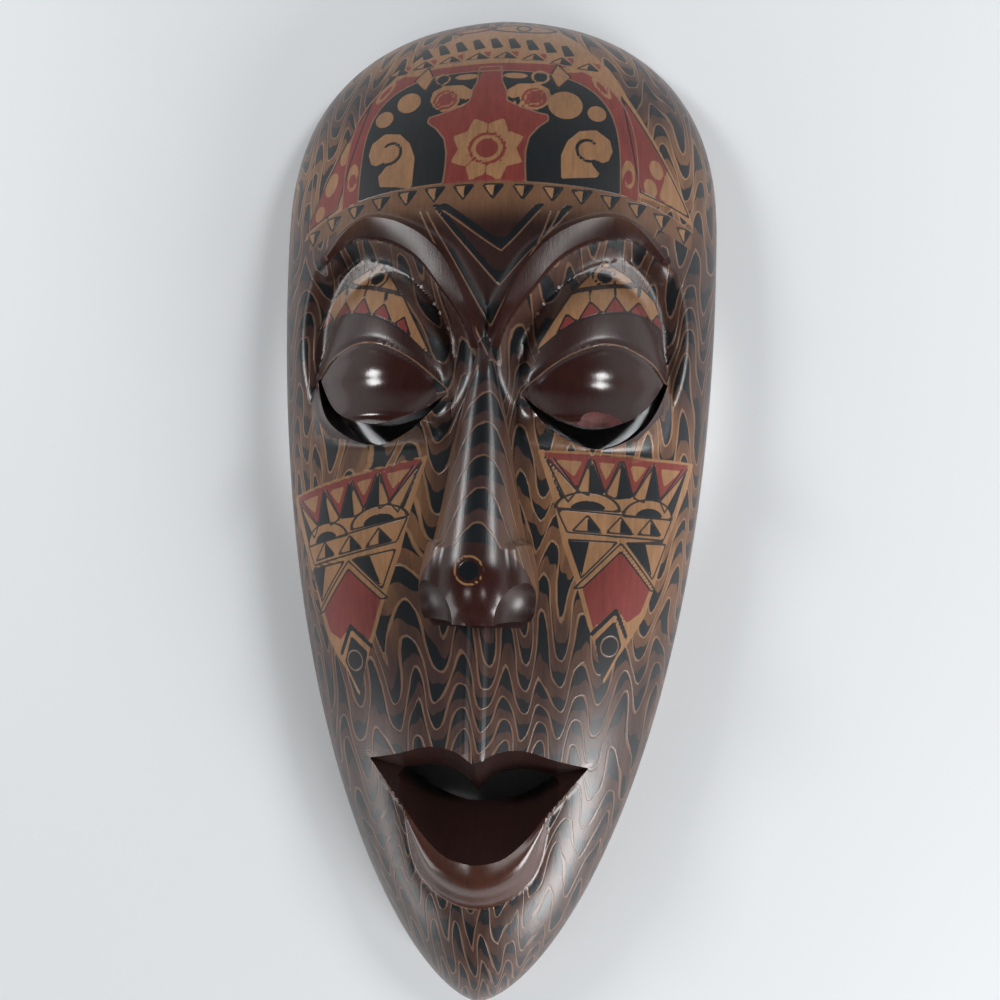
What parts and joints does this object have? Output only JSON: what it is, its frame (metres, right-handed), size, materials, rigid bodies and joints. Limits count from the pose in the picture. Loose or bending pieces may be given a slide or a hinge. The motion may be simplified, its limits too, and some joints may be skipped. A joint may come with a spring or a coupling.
{
  "type": "carved wall mask",
  "caption": "Long oval wooden face mask with arched brows, heavy closed lids, a wedge nose and an open mouth, hollowed at the back, lying on its flat back rim.",
  "frame": {"origin": "on the back plane, midway between crown and chin and between the two sides", "axes": "+Y from the chin to the crown, +Z out of the face, +X to the right as the face is looked at"},
  "size_m": [0.222, 0.5, 0.0963],
  "materials": {
    "stained_wood": "carved light wood stained dark reddish brown, painted all over with looped bands, triangles and simple figures in black, terracotta red and tan, semi-gloss lacquer"
  },
  "bodies": {
    "root": {"carved_mask": "stained_wood"}
  },
  "joints": []
}
